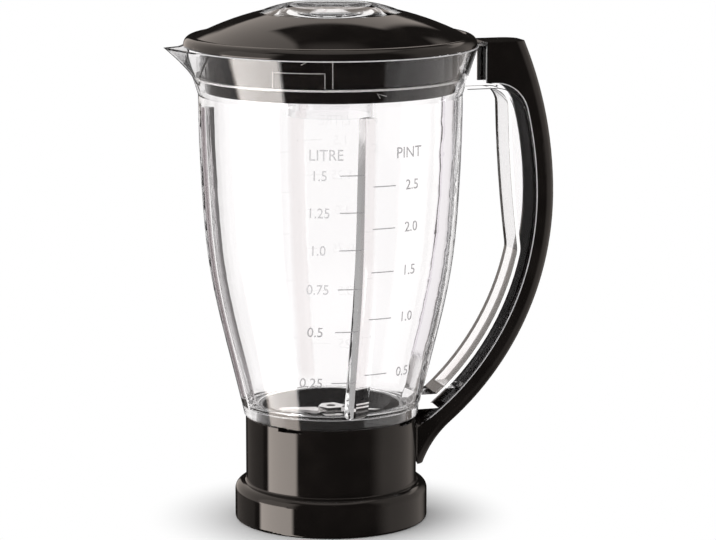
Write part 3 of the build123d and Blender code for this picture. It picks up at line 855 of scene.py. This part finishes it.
def panel(bearings, lifts, soft, level):
    """A patch of light between two bearings and two heights, with soft edges, all in degrees."""
    patch = calc(room, "MULTIPLY", window(bearing, *bearings, soft), window(lift, *lifts, soft))
    return calc(room, "MULTIPLY", patch, level)


def brightest(start, lights):
    """The brightest of several lights at each place."""
    for light in lights:
        start = calc(room, "MAXIMUM", light, start)
    return start


def add_panels(start, panels):
    """The brighter of a light and some panels."""
    return brightest(start, [panel(*values) for values in panels.values()])


# %% [markdown]
# ## Panels of light
#
# White walls stand on the left and, dimmer, on the right, under a white ceiling, and the camera's side is dark.
# The black gloss also mirrors a tall soft box beside the camera, with a strong foot that draws the bright band
# down the collar. The clear wall bends light, so it gets its own view of the same room: a stronger foot, some
# light from floor and ceiling, and a white backdrop.

# %% Room: what gloss mirrors and what the clear wall bends
dark_room = 0.015
shared_panels = {
    "left wall": ((-110, -12), (-7, 62), 1.5, 0.85),
    "band over the backdrop": ((-110, 11), (18, 38.5), 1.5, 0.85),
    "foot of the left wall": ((-76, -25), (-30, -7), 4.0, 0.18),
    "right wall": ((34, 116), (-30, 60), 14.0, 0.58),
    "strip on the right wall": ((19, 60), (23, 33), 3.0, 1.1),
    "ceiling": ((-190, 190), (60, 95), 8.0, 0.9),
}
mirrored_panels = {
    "foot of the soft box": ((-133, -86), (-60, -3), 3.0, 6.0),
    "tall soft box": ((-134, -80), (-7, 45), 8.0, 1.3),
}
refracted_panels = {
    "foot of the soft box": ((-133, -86), (-60, -14), 3.0, 7.5),
    "floor by the right wall": ((34, 116), (-70, -20), 6.0, 0.45),
    "line on the right wall": ((60, 131), (-12, 4), 2.0, 1.1),
    "upper room": ((-190, 190), (12, 95), 4.0, 0.5),
    "floor below": ((-190, 190), (-95, -54), 4.0, 0.5),
}
backdrop_edge, backdrop_full, backdrop_level = 0.66, 0.84, 1.12
shared = add_panels(dark_room, shared_panels)
mirrored = add_panels(shared, mirrored_panels)
backdrop = calc(room, "MULTIPLY", fade(room, ahead, backdrop_edge, backdrop_full), backdrop_level)
refracted = brightest(add_panels(shared, refracted_panels), [backdrop])
print("panels:", len(shared_panels), "shared,", len(mirrored_panels), "mirrored,", len(refracted_panels), "bent")

# %% [markdown]
# ## Rules for single rays
#
# Where the wall is clear, the eye should see plain white through it. A ray that was never mirrored therefore
# sees the backdrop's white, whichever way it was bent. A ray that was mirrored inside one wall only sees an even
# grey, because dark and light panels would stripe the ribs. Steep rays downward are left out, so that the lid's
# black skirt stays dark behind the wall. The Light Path node counts how often a ray was mirrored and how often
# it passed a surface.

# %% Room: rules for rays through the clear wall
rays = add_node(room, "ShaderNodeLightPath")
never_mirrored, one_wall = 0.5, 2.5
wall_grey = 0.42
wall_lowest, wall_highest, wall_soft = -36.5, 90.0, 1.5
unmirrored = calc(room, "LESS_THAN", rays.outputs["Glossy Depth"], never_mirrored)
inside_wall = calc(room, "LESS_THAN", rays.outputs["Transmission Depth"], one_wall)
wall_light = calc(room, "MULTIPLY", window(lift, wall_lowest, wall_highest, wall_soft), wall_grey)
refracted = brightest(refracted, [
    calc(room, "MULTIPLY", unmirrored, backdrop_level),
    calc(room, "MULTIPLY", inside_wall, wall_light),
])
print("rules: white for unmirrored rays, grey", wall_grey, "inside one wall")

# %% [markdown]
# ## Who sees which room
#
# One world can answer each kind of ray in its own way. The camera sees plain white, gloss sees the panels in a
# warm white, the clear wall sees its own view, and every other ray, such as one from a seal or the floor, gets
# a plain grey fill. A chain of Mix Shaders picks the answer.

# %% Room: put together
fill_grey, plain_white = (0.6, 0.6, 0.6), (1.0, 1.0, 1.0)
warm_white, clear_white = (1.0, 0.89, 0.81), (1.0, 0.99, 0.985)


def background(colour, strength=None):
    """A light of a colour from all around, plain or of a strength that changes with direction."""
    node = add_node(room, "ShaderNodeBackground")
    node.inputs["Color"].default_value = (*colour, 1.0)
    if strength is not None:
        wire(room, strength, node.inputs["Strength"])
    return node.outputs["Background"]


shown = background(fill_grey)
for ray, light in (
    ("Is Glossy Ray", background(warm_white, mirrored)),
    ("Is Transmission Ray", background(clear_white, refracted)),
    ("Is Camera Ray", background(plain_white)),
):
    choice = add_node(room, "ShaderNodeMixShader")
    wire(room, rays.outputs[ray], choice.inputs["Fac"])
    wire(room, shown, choice.inputs[1])
    wire(room, light, choice.inputs[2])
    shown = choice.outputs["Shader"]
world_output = add_node(room, "ShaderNodeOutputWorld")
wire(room, shown, world_output.inputs["Surface"])
print("room:", len(room.nodes), "nodes")

# %% [markdown]
# ## Lamps
#
# The panels light what is mirrored or bent. Matt surfaces, such as the seals, the scale and the floor, need lamps
# as well: a tall soft box on the left and a smaller one overhead. Reflections of the lamps would double the
# panels, so camera, mirrored and bent rays don't see them.

# %% Two soft boxes
jar_middle = Vector((0, 0, 0.13))


def soft_box(name, direction, elevation, distance, width, height, radiance):
    """A rectangular lamp that looks at the jar's middle, from a direction in degrees about +Z."""
    lamp = bpy.data.lights.new(name, "AREA")
    lamp.shape = "RECTANGLE"
    lamp.size = width
    lamp.size_y = height
    lamp.energy = radiance * math.pi * width * height
    holder = bpy.data.objects.new(name, lamp)
    turn, rise = math.radians(direction), math.radians(elevation)
    outward = Vector((math.cos(turn) * math.cos(rise), math.sin(turn) * math.cos(rise), math.sin(rise)))
    holder.location = outward * distance + jar_middle
    holder.rotation_mode = "QUATERNION"
    holder.rotation_quaternion = outward.to_track_quat("Z", "Y")
    bpy.context.scene.collection.objects.link(holder)
    holder.visible_camera = False
    holder.visible_glossy = False
    holder.visible_transmission = False
    return holder


soft_box("left_soft_box", direction=185.0, elevation=12.0, distance=1.3, width=1.0, height=1.5, radiance=1.8)
soft_box("top_soft_box", direction=60.0, elevation=80.0, distance=1.5, width=0.9, height=0.9, radiance=2.0)
print("lamps:", len(bpy.data.lights))

# %% [markdown]
# ## The camera
#
# The jar is seen from a little above, from the spout's side, with a long lens, so its upright lines stay almost
# parallel. The lens could be guessed in millimetres; here it comes from the picture's width in pixels and the
# focal length in the same unit, which is easier to measure.

# %% Camera
image_width = 716
lens_pixels = 3119.0
camera_place = (-0.4592, -1.5504, 0.4243)
aim = Vector((0.01378, -0.00408, 0.13276))
camera = bpy.data.objects.new("camera", bpy.data.cameras.new("camera"))
camera.data.sensor_fit = "HORIZONTAL"
camera.data.sensor_width = 36.0
camera.data.lens = camera.data.sensor_width * lens_pixels / image_width
camera.location = camera_place
camera.rotation_mode = "QUATERNION"
camera.rotation_quaternion = (aim - camera.location).to_track_quat("-Z", "Y")
bpy.context.scene.collection.objects.link(camera)
bpy.context.scene.camera = camera
print("lens:", round(camera.data.lens, 1), "mm")

# %% [markdown]
# ## Rendering clear walls
#
# A ray that looks through the jar passes two walls with two faces each, and inside a rib it is thrown to and fro
# before it gets out. With few bounces such rays end in black, so Cycles gets many. The Standard view keeps white
# white.

# %% View and bounces
scene = bpy.context.scene
scene.view_settings.view_transform = "Standard"
scene.cycles.max_bounces = 40
scene.cycles.glossy_bounces = 24
scene.cycles.transmission_bounces = 32
print("bounces:", scene.cycles.max_bounces)
